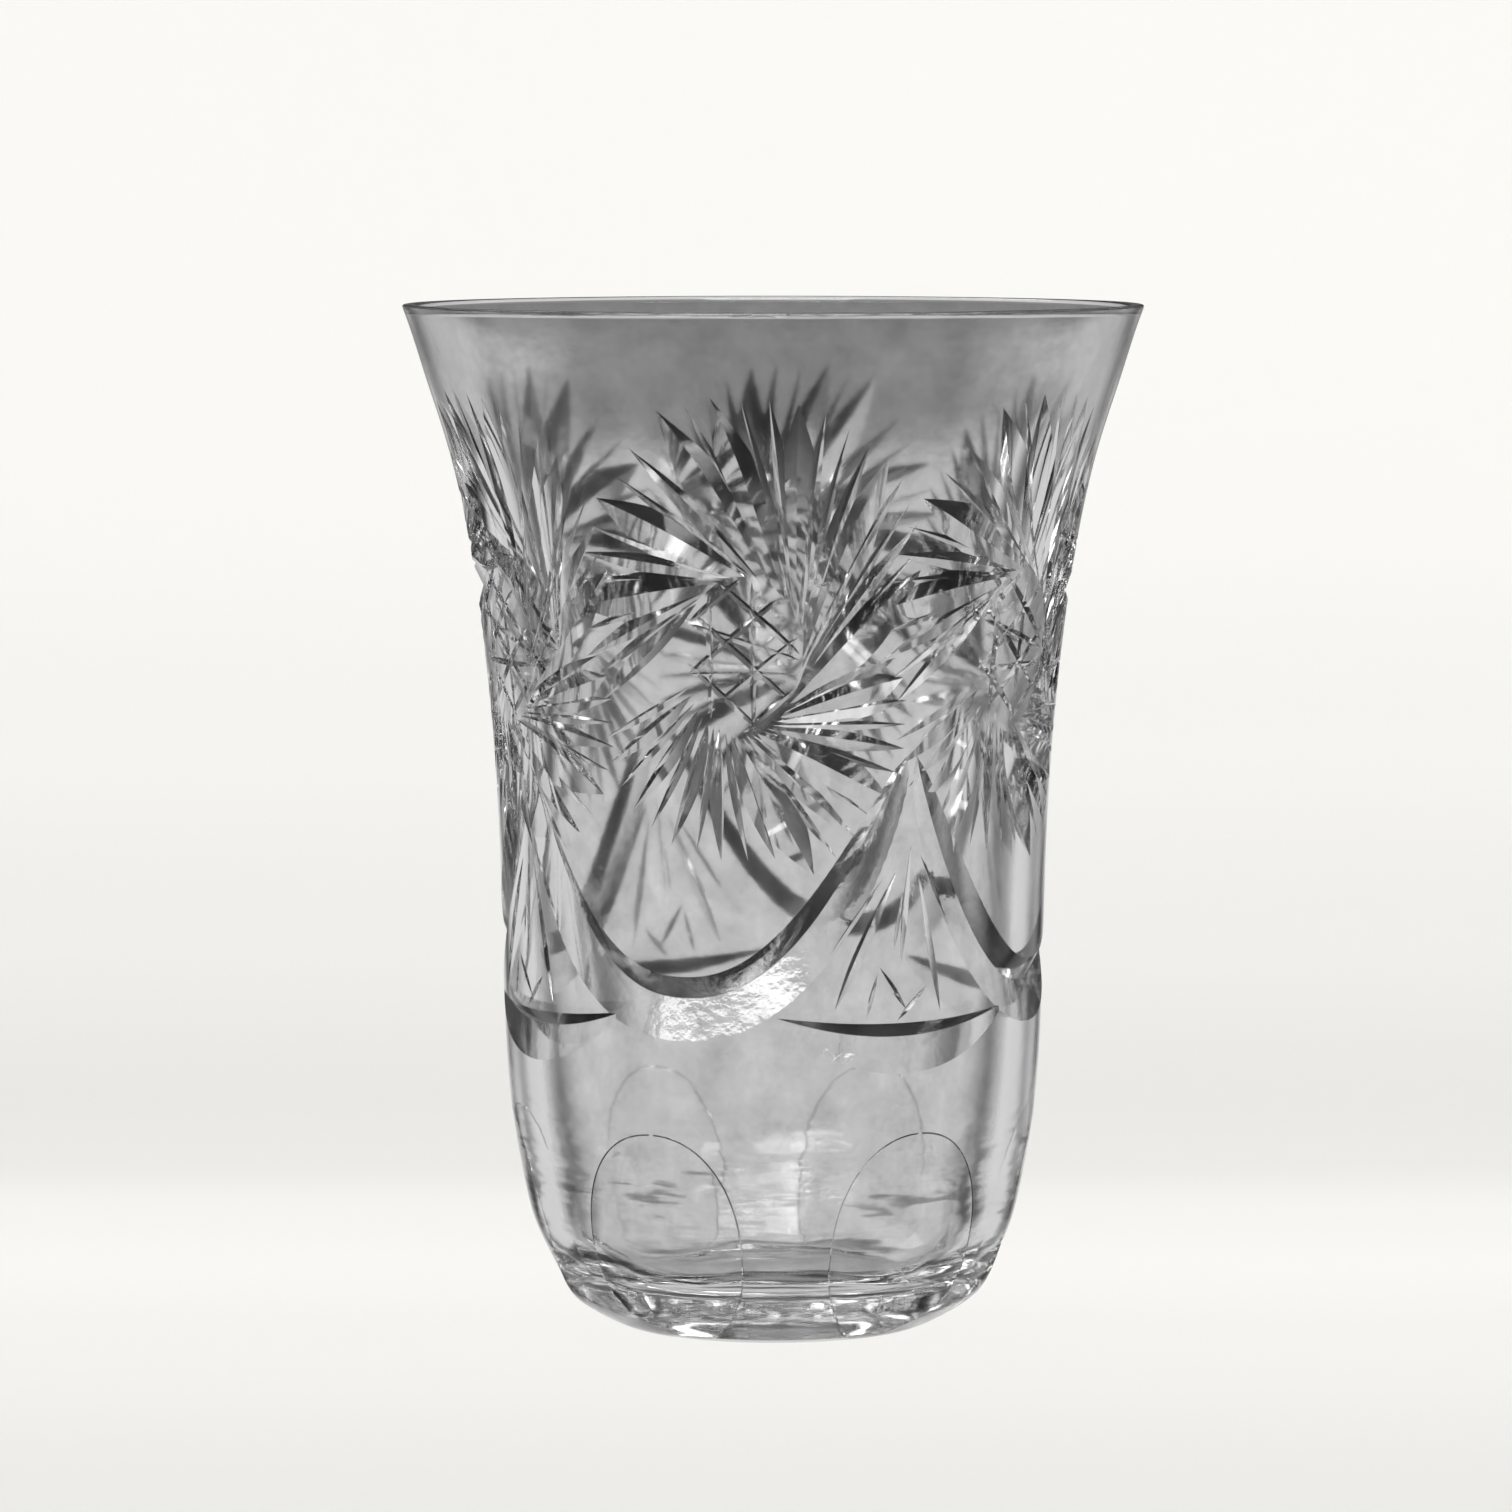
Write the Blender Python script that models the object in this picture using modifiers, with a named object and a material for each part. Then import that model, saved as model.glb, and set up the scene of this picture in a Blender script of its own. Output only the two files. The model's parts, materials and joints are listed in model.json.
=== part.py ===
"""Cut crystal vase: one turned body of glass, its base flutes and its wheel-cut pattern.

Metres, +Z up, the foot centred on the origin and the middle of the pattern facing -Y.
Angles round the body run from -Y towards +X, in degrees.
"""

import math

import bpy
from mathutils import Vector

MM = 0.001

# Turned body: (radius, height) in mm, from the middle of the inner floor up, over the rim and down.
INNER_PROFILE = [
    (0.0, 8.5), (17.8, 8.95), (24.5, 9.55), (27.6, 11.05), (29.75, 13.55), (30.8, 16.35),
    (31.75, 21.85), (32.55, 26.85), (33.9, 37.0), (35.0, 52.0), (36.0, 71.0), (37.45, 88.0),
    (39.4, 103.5), (42.15, 118.5), (45.2, 130.0), (48.6, 140.0), (51.9, 148.6),
]
RIM_PROFILE = [(52.4, 149.6), (53.3, 150.0), (54.1, 149.5)]
OUTER_PROFILE = [
    (54.3, 148.6), (51.0, 140.0), (47.8, 130.0), (45.1, 118.5), (42.8, 103.5), (41.2, 88.0),
    (40.2, 71.0), (39.7, 52.0), (39.0, 37.0), (37.6, 25.0), (35.5, 15.0), (33.4, 9.0),
    (30.6, 4.9), (26.6, 2.1),
]
FOOT_RADIUS = 21.0
TURN_STEPS = 60

# Base flutes: broad shallow ovals ground round the thick base. Low down each is flat; higher up
# its face is crowned, so that it has only a share of the flat face's depth.
FLUTES = 6
FLUTE_FIRST = 33.0
FLUTE_HALF_WIDTH = 19.8
FLUTE_MIDDLE = 13.0
FLUTE_UP, FLUTE_DOWN = 19.3, 12.6
FLUTE_SQUARENESS = 2.15
FLUTE_FLAT_BELOW, FLUTE_CROWNED_ABOVE = 4.0, 17.5
FLUTE_CROWN = 0.2
FLUTE_MARGIN = 4.0
FLUTE_ROWS, FLUTE_COLUMNS = 9, 9
FLUTE_CLEAR_RADIUS = 60.0

# Swags: deep mitre cuts that hang in bows round the body.
SWAGS = 4
SWAG_LOWEST_AT = -17.0
SWAG_LOW, SWAG_HIGH = 52.2, 86.0
SWAG_POWER = 2.3
SWAG_LEAN = 0.06
SWAG_DEPTH = 1.6
SWAG_UPPER_RUN, SWAG_LOWER_RUN = 2.2, 3.4

# Crescents: short, wide cuts under the joints of the swags.
CRESCENT_HALF_SPAN = 28.0
CRESCENT_TIP, CRESCENT_SAG = 49.8, 3.4
CRESCENT_DEPTH = 1.5
CRESCENT_UPPER_RUN, CRESCENT_LOWER_RUN = 1.5, 3.6

# Sprays: thin cuts that spread downwards from under the joints of the swags.
SPRAY_APEX, SPRAY_REACH = 74.0, 21.0
SPRAY_RAYS = 5
SPRAY_SPREAD = 24.0
SPRAY_DEPTH = 0.75

# Pinwheels: swirling blades round an oval hub with a hatched ground.
PINWHEELS = 6
PINWHEEL_FIRST, PINWHEEL_HEIGHT = -6.0, 101.5
HUB_HALF_WIDTH, HUB_HALF_HEIGHT = 8.6, 11.2
HUB_RAYS = 8
HUB_DEPTH = 0.5
# Each fan of blades: direction of the first and last tips, their reach, the first and last
# roots round the hub, and how many blades.
FANS = [
    (108.0, 26.0, 36.0, 28.5, 62.0, -38.0, 6),
    (-2.0, -71.0, 23.5, 32.5, -48.0, -96.0, 5),
    (-86.0, -138.0, 30.5, 26.0, -106.0, -148.0, 4),
    (-164.0, -242.0, 23.0, 32.0, 140.0, 80.0, 5),
]
FAN_BULGE = 2.6
BLADE_DEPTH, BLADE_RUN = 0.62, 1.0
LEAF_DEPTH, LEAF_STEEP_RUN, LEAF_FLAT_RUN = 1.15, 1.2, 2.4

LIFT = 0.5  # how far a cutter stands out of the wall
TIP_CLEAR = 0.04  # how far the ends of a cut's apex line stand out of it


def wall(angle, height):
    """Point of the uncut outer wall at this angle and height, in mm, and its outward normal."""
    points = sorted(OUTER_PROFILE, key=lambda point: point[1])
    for (r0, z0), (r1, z1) in zip(points, points[1:]):
        if z0 <= height <= z1:
            break
    radius = r0 + (r1 - r0) * (height - z0) / (z1 - z0)
    turn = math.radians(angle)
    outward = Vector((math.sin(turn), -math.cos(turn), 0.0))
    normal = outward * (z1 - z0) - Vector((0.0, 0.0, 1.0)) * (r1 - r0)
    return outward * radius + Vector((0.0, 0.0, height)), normal.normalized()


def mesh_object(name, points, faces, collection):
    """Object from points in mm and faces."""
    mesh = bpy.data.meshes.new(name)
    mesh.from_pydata([tuple(Vector(point) * MM) for point in points], [], faces)
    mesh.update()
    made = bpy.data.objects.new(name, mesh)
    collection.objects.link(made)
    return made


def cutter_collection(name):
    """Collection for cutters, kept apart from the finished part."""
    made = bpy.data.collections.new(name)
    bpy.context.scene.collection.children.link(made)
    return made


def add_cutter(name, points, faces, collection):
    cutter = mesh_object(name, points, faces, collection)
    cutter.hide_render = True
    cutter.display_type = "WIRE"


def add_groove(name, path, depths, left_run, right_run, collection):
    """Closed cutter for a V groove along a path of (angle, height) on the wall.

    Each run is how far that wall of the V goes sideways per mm of depth; left and right are
    as seen along the path from outside. Where the depth is negative the groove has ended.
    """
    places = [wall(*place) for place in path]
    points, faces = [], []
    for i, (point, normal) in enumerate(places):
        ahead = places[min(i + 1, len(places) - 1)][0] - places[max(i - 1, 0)][0]
        side = normal.cross(ahead).normalized()
        reach = LIFT + depths[i]
        points += [
            point - normal * depths[i],
            point + normal * LIFT + side * reach * left_run,
            point + normal * LIFT - side * reach * right_run,
        ]
        if i:
            a, b = 3 * (i - 1), 3 * i
            faces += [
                (a + j, a + (j + 1) % 3, b + (j + 1) % 3, b + j) for j in range(3)
            ]
    last = 3 * (len(places) - 1)
    faces = [tuple(face) for face in faces]
    faces += [(0, 2, 1), (last, last + 1, last + 2)]
    add_cutter(name, points, faces, collection)


def leaf_depths(deepest, stations, fullest=0.5):
    """Depths along a cut that fades out at both ends, deepest at the fraction `fullest`."""
    depths = []
    for i in range(stations):
        t = i / (stations - 1)
        warped = 0.5 * t / fullest if t < fullest else 1 - 0.5 * (1 - t) / (1 - fullest)
        depths.append((deepest + TIP_CLEAR) * math.sin(math.pi * warped) - TIP_CLEAR)
    return depths


def turned_body(collection):
    """Body of revolution, as a profile and a Screw."""
    profile = INNER_PROFILE + RIM_PROFILE + OUTER_PROFILE + [(FOOT_RADIUS, 0.0), (0.0, 0.0)]
    points = [(radius, 0.0, height) for radius, height in profile]
    body = mesh_object("vase_body", points, [], collection)
    body.data.clear_geometry()
    body.data.from_pydata(
        [(x * MM, y * MM, z * MM) for x, y, z in points],
        [(i, i + 1) for i in range(len(points) - 1)],
        [],
    )
    screw = body.modifiers.new("turn", "SCREW")
    screw.steps = screw.render_steps = TURN_STEPS
    screw.use_merge_vertices = True
    screw.merge_threshold = 0.00005
    screw.use_smooth_shade = True
    return body


def flute_face():
    """Heights down the face of a flute, and at each its radii across the face, in mm."""
    edge = math.radians(FLUTE_HALF_WIDTH + FLUTE_MARGIN)
    turns = [edge * (2 * j / (FLUTE_COLUMNS - 1) - 1) for j in range(FLUTE_COLUMNS)]
    rows = []
    for i in range(FLUTE_ROWS):
        t = math.cos(math.pi * i / (FLUTE_ROWS - 1))
        height = FLUTE_MIDDLE + t * (FLUTE_UP if t > 0 else FLUTE_DOWN)
        inside = max(0.0, 1 - abs(t) ** FLUTE_SQUARENESS) ** (1 / FLUTE_SQUARENESS)
        chord = math.cos(math.radians(FLUTE_HALF_WIDTH * inside))
        bare = -wall(0.0, max(height, OUTER_PROFILE[-1][1]))[0].y
        rise = (height - FLUTE_FLAT_BELOW) / (FLUTE_CROWNED_ABOVE - FLUTE_FLAT_BELOW)
        share = 1 - (1 - FLUTE_CROWN) * min(max(rise, 0.0), 1.0)
        rows.append((height, [bare - share * bare * (1 - chord / math.cos(a)) for a in turns]))
    top, bottom = rows[0], rows[-1]
    rows.insert(0, (top[0] + 3.0, [radius + 3.0 for radius in top[1]]))
    rows.append((bottom[0] - 2.5, [radius + 2.0 for radius in bottom[1]]))
    return turns, rows


def add_flutes(collection):
    """Blocks whose inner faces meet the wall along each oval's outline."""
    turns, rows = flute_face()
    count, across = len(rows), FLUTE_COLUMNS
    far = count * across
    grid = [
        (i * across + j, i * across + j + 1, (i + 1) * across + j + 1, (i + 1) * across + j)
        for i in range(count - 1)
        for j in range(across - 1)
    ]
    border = [j for j in range(across - 1)] + [i * across + across - 1 for i in range(count - 1)]
    border += [far - 1 - j for j in range(across - 1)] + [i * across for i in range(count - 1, 0, -1)]
    onward = border[1:] + border[:1]
    faces = grid + [(a, a + far, b + far, b) for a, b in zip(border, onward)]
    faces += [tuple(corner + far for corner in reversed(face)) for face in grid]
    for k in range(FLUTES):
        middle = math.radians(FLUTE_FIRST + 360.0 / FLUTES * k)
        near, away = [], []
        for height, radii in rows:
            for turn, radius in zip(turns, radii):
                outward = Vector((math.sin(middle + turn), -math.cos(middle + turn), 0.0))
                up = Vector((0.0, 0.0, height))
                near.append(outward * radius + up)
                away.append(outward * FLUTE_CLEAR_RADIUS + up)
        add_cutter(f"flute_{k}", near + away, faces, collection)


def add_swags(collection):
    for k in range(SWAGS):
        low = SWAG_LOWEST_AT + 360.0 / SWAGS * k
        half = 180.0 / SWAGS
        stations = 13
        path, depths = [], []
        for i in range(stations):
            t = -1 + 2 * i / (stations - 1)
            off = abs(t + SWAG_LEAN * (1 - t * t))
            height = SWAG_LOW + (SWAG_HIGH - SWAG_LOW) * off**SWAG_POWER
            path.append((low + t * (half - 1.2), height))
            depths.append((SWAG_DEPTH + TIP_CLEAR) * (1 - t**4) ** 0.7 - TIP_CLEAR)
        add_groove(f"swag_{k}", path, depths, SWAG_UPPER_RUN, SWAG_LOWER_RUN, collection)


def joint_angles():
    """Angles of the joints between swags."""
    return [SWAG_LOWEST_AT + 360.0 / SWAGS * (k + 0.5) for k in range(SWAGS)]


def add_crescents(collection):
    for k, middle in enumerate(joint_angles()):
        stations = 9
        path = []
        for i in range(stations):
            t = -1 + 2 * i / (stations - 1)
            height = CRESCENT_TIP - CRESCENT_SAG * (1 - t * t)
            path.append((middle + t * CRESCENT_HALF_SPAN, height))
        depths = leaf_depths(CRESCENT_DEPTH, stations)
        name = f"crescent_{k}"
        add_groove(name, path, depths, CRESCENT_UPPER_RUN, CRESCENT_LOWER_RUN, collection)


def add_sprays(collection):
    for k, middle in enumerate(joint_angles()):
        for j in range(SPRAY_RAYS):
            share = 2 * j / (SPRAY_RAYS - 1) - 1
            lean = math.radians(SPRAY_SPREAD * share)
            reach = SPRAY_REACH * (1 - 0.16 * abs(share))
            ends = []
            for along in (2.0 + 3.0 * abs(share), reach):
                height = SPRAY_APEX - along * math.cos(lean)
                swing = math.degrees(along * math.sin(lean) / 40.0)
                ends.append((middle + swing, height))
            middle_place = tuple((a + b) / 2 for a, b in zip(*ends))
            path = [ends[0], middle_place, ends[1]]
            add_groove(f"spray_{k}_{j}", path, leaf_depths(SPRAY_DEPTH, 3), 0.9, 0.9, collection)


def on_pinwheel(middle, across, up):
    """(angle, height) of a place this many mm across and up from a hub's middle."""
    height = PINWHEEL_HEIGHT + up
    radius = math.hypot(*wall(0.0, PINWHEEL_HEIGHT + 0.5 * up)[0].xy)
    return middle + math.degrees(across / radius), height


def add_blade(name, middle, root, tip, leaf, collection):
    path = []
    for t in (0.0, 0.5, 1.0):
        across = root[0] + (tip[0] - root[0]) * t
        up = root[1] + (tip[1] - root[1]) * t
        path.append(on_pinwheel(middle, across, up))
    if leaf:
        depths, runs = leaf_depths(LEAF_DEPTH, 3), (LEAF_STEEP_RUN, LEAF_FLAT_RUN)
    else:
        depths, runs = leaf_depths(BLADE_DEPTH, 3), (BLADE_RUN, BLADE_RUN)
    add_groove(name, path, depths, *runs, collection)


def add_pinwheel(k, collection):
    middle = PINWHEEL_FIRST + 360.0 / PINWHEELS * k
    for f, (tip0, tip1, reach0, reach1, root0, root1, count) in enumerate(FANS):
        for j in range(count):
            t = j / (count - 1)
            tip_at = math.radians(tip0 + (tip1 - tip0) * t)
            root_at = math.radians(root0 + (root1 - root0) * t)
            reach = reach0 + (reach1 - reach0) * t + FAN_BULGE * math.sin(math.pi * t)
            tip = (reach * math.cos(tip_at), reach * math.sin(tip_at))
            root = (HUB_HALF_WIDTH * math.cos(root_at), HUB_HALF_HEIGHT * math.sin(root_at))
            leaf = j in (0, count // 2, count - 1)
            add_blade(f"blade_{k}_{f}_{j}", middle, root, tip, leaf, collection)


def add_hub(k, collection):
    """Star of crossing cuts inside the oval, each a little shallower than the last."""
    middle = PINWHEEL_FIRST + 360.0 / PINWHEELS * k
    for j in range(HUB_RAYS // 2):
        turn = math.radians(90.0 + 360.0 / HUB_RAYS * j)
        end = (HUB_HALF_WIDTH * math.cos(turn), HUB_HALF_HEIGHT * math.sin(turn))
        path = [on_pinwheel(middle, end[0] * t, end[1] * t) for t in (-0.92, 0.0, 0.92)]
        depths = leaf_depths(HUB_DEPTH + 0.06 * j, 3)
        add_groove(f"star_{k}_{j}", path, depths, 0.9, 0.9, collection)


def cut(body, name, collection):
    """Subtract every cutter of a collection from the body."""
    boolean = body.modifiers.new(name, "BOOLEAN")
    boolean.operation = "DIFFERENCE"
    boolean.solver = "EXACT"
    boolean.operand_type = "COLLECTION"
    boolean.collection = collection


def crystal():
    """Colourless lead crystal."""
    material = bpy.data.materials.new("lead_crystal")
    material.use_nodes = True
    shader = material.node_tree.nodes["Principled BSDF"]
    shader.inputs["Base Color"].default_value = (1.0, 1.0, 1.0, 1.0)
    shader.inputs["Roughness"].default_value = 0.02
    shader.inputs["IOR"].default_value = 1.545
    shader.inputs["Transmission Weight"].default_value = 1.0
    return material


def main():
    for old in list(bpy.data.objects):
        bpy.data.objects.remove(old, do_unlink=True)
    vase = bpy.data.collections.new("cut_crystal_vase")
    bpy.context.scene.collection.children.link(vase)
    body = turned_body(vase)
    groups = {"flutes": add_flutes, "swags": add_swags, "crescents": add_crescents, "sprays": add_sprays}
    for name, build in groups.items():
        wheels = cutter_collection(name)
        build(wheels)
        cut(body, name, wheels)
    wheels = cutter_collection("pinwheels")
    for k in range(PINWHEELS):
        add_pinwheel(k, wheels)
        add_hub(k, wheels)
    cut(body, "pinwheels", wheels)
    body.data.materials.append(crystal())


main()
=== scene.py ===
"""Looks of a cut crystal vase: one thick body of lead crystal with wheel-cut ornament.

The body is turned from a smooth profile, then every flute, mitre and blade is ground out of it
with a closed cutter, as a cutter's wheel does. Sizes are in millimetres in the classes and in
metres in the meshes. Angles run round the body from -Y towards +X, in degrees.
"""

from __future__ import annotations

import json
import logging
import math
from collections.abc import Sequence
from dataclasses import dataclass, field
from enum import Enum

import bpy
import numpy as np
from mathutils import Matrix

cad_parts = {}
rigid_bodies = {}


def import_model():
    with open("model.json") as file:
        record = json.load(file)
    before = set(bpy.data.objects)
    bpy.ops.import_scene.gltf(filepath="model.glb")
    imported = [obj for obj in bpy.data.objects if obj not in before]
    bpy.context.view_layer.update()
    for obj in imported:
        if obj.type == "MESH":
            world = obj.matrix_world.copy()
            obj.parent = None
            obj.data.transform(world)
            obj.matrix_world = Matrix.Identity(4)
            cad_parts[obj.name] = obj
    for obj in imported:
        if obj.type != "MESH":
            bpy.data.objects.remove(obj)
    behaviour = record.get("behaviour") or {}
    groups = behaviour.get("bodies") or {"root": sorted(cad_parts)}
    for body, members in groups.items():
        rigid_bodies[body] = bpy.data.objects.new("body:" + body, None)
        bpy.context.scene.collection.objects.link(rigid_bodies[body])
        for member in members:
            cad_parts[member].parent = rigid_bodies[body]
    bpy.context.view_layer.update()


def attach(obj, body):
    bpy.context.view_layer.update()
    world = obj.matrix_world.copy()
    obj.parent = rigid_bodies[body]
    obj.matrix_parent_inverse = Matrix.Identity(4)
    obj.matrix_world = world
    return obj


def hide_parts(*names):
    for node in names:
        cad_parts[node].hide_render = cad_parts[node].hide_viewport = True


MM = 0.001
CLEAR_OF_WALL = 0.03  # mm above the wall at which a cut starts and ends
LOG = logging.getLogger("vase")
Array = np.ndarray


class Surface(Enum):
    """What made each surface of the glass, and so which material slot its faces use."""

    OUTSIDE = 0
    INSIDE = 1
    RIM = 2
    FACET = 3
    BOW = 4
    FLUTE = 5


# --------------------------------------------------------------------------- helpers


def linear(hex_colour: str) -> tuple[float, float, float, float]:
    """Turn an sRGB hex colour into linear RGBA.

    Args:
        hex_colour: six hex digits, with or without a leading #.

    Returns:
        Linear red, green and blue, and an alpha of 1.
    """
    digits = hex_colour.lstrip("#")
    coded = [int(digits[i : i + 2], 16) / 255 for i in (0, 2, 4)]
    plain = [c / 12.92 if c <= 0.04045 else ((c + 0.055) / 1.055) ** 2.4 for c in coded]
    return (plain[0], plain[1], plain[2], 1.0)


def add_node(
    tree: bpy.types.NodeTree,
    kind: str,
    settings: dict | None = None,
    inputs: dict | None = None,
) -> bpy.types.Node:
    """Add a node with its settings, its values and its links.

    Args:
        tree: the node tree to add to.
        kind: the node's type name.
        settings: attributes to set on the node.
        inputs: values or output sockets by input name or number.

    Returns:
        The new node.
    """
    node = tree.nodes.new(kind)
    for name, value in (settings or {}).items():
        setattr(node, name, value)
    for name, value in (inputs or {}).items():
        if isinstance(value, bpy.types.NodeSocket):
            tree.links.new(value, node.inputs[name])
        else:
            node.inputs[name].default_value = value
    return node


def fill_ramp(ramp: bpy.types.Node, stops: Sequence[tuple[float, str]]) -> None:
    """Give a colour ramp its stops.

    Args:
        ramp: the ramp's node, which is changed.
        stops: place from 0 to 1 and sRGB hex colour of each, in order.
    """
    bar = ramp.color_ramp.elements
    while len(bar) < len(stops):
        bar.new(0.5)
    for element, (at, colour) in zip(bar, stops):
        element.position = at
        element.color = linear(colour)


def spline_slopes(steps: Array, values: Array, first: float, last: float) -> Array:
    """Slopes at the points of a curve whose bend has no jumps.

    They solve the usual equations of a cubic spline, one for each inner point, which make the
    second derivatives on both sides of it equal.

    Args:
        steps: increasing places of the points.
        values: the points' values.
        first: the slope at the first point.
        last: the slope at the last point.

    Returns:
        One slope for each point.
    """
    inverse = 1 / np.diff(steps)
    pull = 3 * np.diff(values) * inverse**2
    system = np.eye(len(steps))
    inner = np.arange(1, len(steps) - 1)
    system[inner, inner - 1] = inverse[:-1]
    system[inner, inner] = 2 * (inverse[:-1] + inverse[1:])
    system[inner, inner + 1] = inverse[1:]
    right = np.concatenate([[first], pull[:-1] + pull[1:], [last]])
    return np.linalg.solve(system, right)


def smooth_curve(points: Array, spacing: float, first: tuple, last: tuple) -> Array:
    """Run a smooth curve through points in the order given.

    Both coordinates are cubic splines of the chord length.

    Args:
        points: (n, 2) radius and height.
        spacing: wanted distance between samples.
        first: unit direction in which the curve leaves its first point.
        last: unit direction in which it reaches its last point.

    Returns:
        (m, 2) samples that start and end on the end points.
    """
    lengths = np.hypot(*np.diff(points, axis=0).T)
    places = np.concatenate([[0.0], np.cumsum(lengths)])
    counts = np.maximum(1, np.ceil(lengths / spacing)).astype(int)
    runs = [np.linspace(a, b, n, endpoint=False) for a, b, n in zip(places, places[1:], counts)]
    at = np.concatenate([*runs, places[-1:]])
    part = np.clip(np.searchsorted(places, at, side="right") - 1, 0, len(lengths) - 1)
    width = lengths[part]
    t = (at - places[part]) / width
    curves = []
    for values, start, end in zip(points.T, first, last):
        slopes = spline_slopes(places, values, start, end)
        curves.append(
            (2 * t**3 - 3 * t**2 + 1) * values[part]
            + (t**3 - 2 * t**2 + t) * width * slopes[part]
            + (3 * t**2 - 2 * t**3) * values[part + 1]
            + (t**3 - t**2) * width * slopes[part + 1]
        )
    return np.stack(curves, axis=1)


def round_the_axis(angles: Array) -> tuple[Array, Array]:
    """Unit vectors that point outwards and onwards at these angles.

    Args:
        angles: degrees from -Y towards +X.

    Returns:
        (n, 3) outward vectors and (n, 3) vectors towards growing angle.
    """
    turn = np.radians(angles)
    zero = np.zeros_like(turn)
    outward = np.stack([np.sin(turn), -np.cos(turn), zero], axis=-1)
    onward = np.stack([np.cos(turn), np.sin(turn), zero], axis=-1)
    return outward, onward


def new_mesh(
    name: str, points: Array, faces: list, surfaces: Array | None = None
) -> bpy.types.Mesh:
    """Make a mesh from points in mm.

    Args:
        name: the mesh's name.
        points: (n, 3) in mm.
        faces: faces as sequences of point numbers.
        surfaces: a material index for each face, or None for all 0.

    Returns:
        The mesh, in metres.
    """
    mesh = bpy.data.meshes.new(name)
    mesh.from_pydata((points * MM).tolist(), [], faces)
    if surfaces is not None:
        mesh.polygons.foreach_set("material_index", surfaces.astype(np.int32))
    mesh.update()
    return mesh


# --------------------------------------------------------------------------- finishes


@dataclass(frozen=True)
class LeadCrystal:
    """Colourless 24 % lead crystal: bright and heavy, so its cuts flash between dark and white.

    Attributes:
        name: the material's name, which says how its surface was made.
        roughness: 0 for fire polish, a little more where a wheel has been.
        wave_mm: length of the soft waves that blowing or grinding left.
        wave_height_mm: how high those waves stand.
        stretch: how much longer the waves run round the body than up it.
        grain_mm: size of the finer unevenness on top of the waves.
        grain_height_mm: how high that stands.
        ripple_height_mm: height of the ripples that the mould left low down.
        ripple_mm: their size.
        ripple_stretch: how much longer the ripples run round the body than up it.
        ripple_top: the heights in mm above the foot between which they fade out.
        details: how many finer octaves the waves, the grain and the ripples have.
        ior: refractive index, a little over window glass because of the lead.
        tint: the glass's colour.
        cloudy_tint: the colour where a faint bloom clouds it; none if it is empty.
        cloud_mm: size of those clouds.
        cloud_levels: the noise's values at which the bloom is full and gone.
    """

    name: str
    roughness: float
    wave_mm: float
    wave_height_mm: float
    stretch: float = 1.0
    grain_mm: float = 1.5
    grain_height_mm: float = 0.0
    ripple_height_mm: float = 0.0
    ripple_mm: float = 4.0
    ripple_stretch: float = 4.0
    ripple_top: tuple[float, float] = (26.0, 40.0)
    details: tuple[float, float, float] = (1.0, 3.0, 2.0)
    ior: float = 1.545
    tint: str = "#FCFCFC"
    cloudy_tint: str = ""
    cloud_mm: float = 6.0
    cloud_levels: tuple[float, float] = (0.33, 0.66)

    def material(self) -> bpy.types.Material:
        """Build the glass with its waves as bump.

        Returns:
            The material.
        """
        made = bpy.data.materials.new(self.name)
        made.use_nodes = True
        tree = made.node_tree
        shader = tree.nodes["Principled BSDF"]
        shader.inputs["Base Color"].default_value = linear(self.tint)
        shader.inputs["Roughness"].default_value = self.roughness
        shader.inputs["IOR"].default_value = self.ior
        shader.inputs["Transmission Weight"].default_value = 1.0
        place = add_node(tree, "ShaderNodeTexCoord").outputs["Object"]
        if self.cloudy_tint:
            self.add_bloom(tree, place, shader)
        layers = (
            (self.wave_mm, self.wave_height_mm, self.stretch, False),
            (self.grain_mm, self.grain_height_mm, self.stretch, False),
            (self.ripple_mm, self.ripple_height_mm, self.ripple_stretch, True),
        )
        normal = None
        for (size, height, stretch, fades), detail in zip(layers, self.details):
            if height <= 0:
                continue
            across = 1.0 / (size * MM)
            scale = (across / stretch, across / stretch, across)
            mapping = add_node(tree, "ShaderNodeMapping", inputs={"Vector": place, "Scale": scale})
            noise = {"Vector": mapping.outputs["Vector"], "Scale": 1.0, "Detail": detail}
            relief = add_node(tree, "ShaderNodeTexNoise", inputs=noise).outputs["Fac"]
            if fades:
                parts = {0: relief, 1: self.low_down(tree, place)}
                times = add_node(tree, "ShaderNodeMath", {"operation": "MULTIPLY"}, parts)
                relief = times.outputs[0]
            inputs = {"Height": relief, "Strength": 1.0, "Distance": height * MM}
            if normal is not None:
                inputs["Normal"] = normal
            normal = add_node(tree, "ShaderNodeBump", inputs=inputs).outputs["Normal"]
        if normal is not None:
            tree.links.new(normal, shader.inputs["Normal"])
        return made

    def add_bloom(
        self, tree: bpy.types.NodeTree, place: bpy.types.NodeSocket, shader: bpy.types.Node
    ) -> None:
        """Cloud the glass faintly, by noise between two tints.

        Args:
            tree: the material's nodes.
            place: object coordinates.
            shader: the glass, whose colour is linked.
        """
        scale = 1.0 / (self.cloud_mm * MM)
        bloom = {"Vector": place, "Scale": scale, "Detail": 5.0, "Roughness": 0.65}
        clouds = add_node(tree, "ShaderNodeTexNoise", inputs=bloom)
        ramp = add_node(tree, "ShaderNodeValToRGB", inputs={"Fac": clouds.outputs["Fac"]})
        fill_ramp(ramp, tuple(zip(self.cloud_levels, (self.cloudy_tint, "#FFFFFF"))))
        tree.links.new(ramp.outputs["Color"], shader.inputs["Base Color"])

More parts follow.
